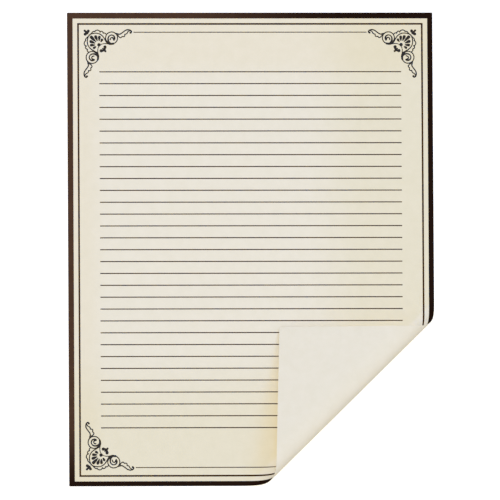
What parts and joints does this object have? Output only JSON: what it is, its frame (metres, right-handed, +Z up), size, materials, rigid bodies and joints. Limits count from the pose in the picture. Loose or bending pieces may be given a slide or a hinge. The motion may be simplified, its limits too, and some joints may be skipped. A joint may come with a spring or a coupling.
{
  "type": "lined letter paper",
  "caption": "Flat sheet of lined letter paper with a brown border, a thin frame line, corner ornaments and its lower right corner turned over.",
  "frame": {"origin": "centre of the sheet, on the surface that it lies on", "axes": "+X to the sheet's right edge, +Y to its top edge, +Z up from the printed side"},
  "size_m": [0.216, 0.2794, 0.015],
  "materials": {
    "paper": "smooth uncoated cream writing paper, matte",
    "brown_ink": "dark brown printed ink with a slight sheen",
    "line_ink": "dark brown printed ink, matte",
    "ornament_ink": "near-black brown printed ink, matte"
  },
  "bodies": {
    "root": {"sheet": "paper", "printed_border": "brown_ink", "frame_line": "line_ink", "writing_rules": "line_ink", "end_rules": "line_ink", "corner_ornaments": "ornament_ink"}
  },
  "joints": []
}
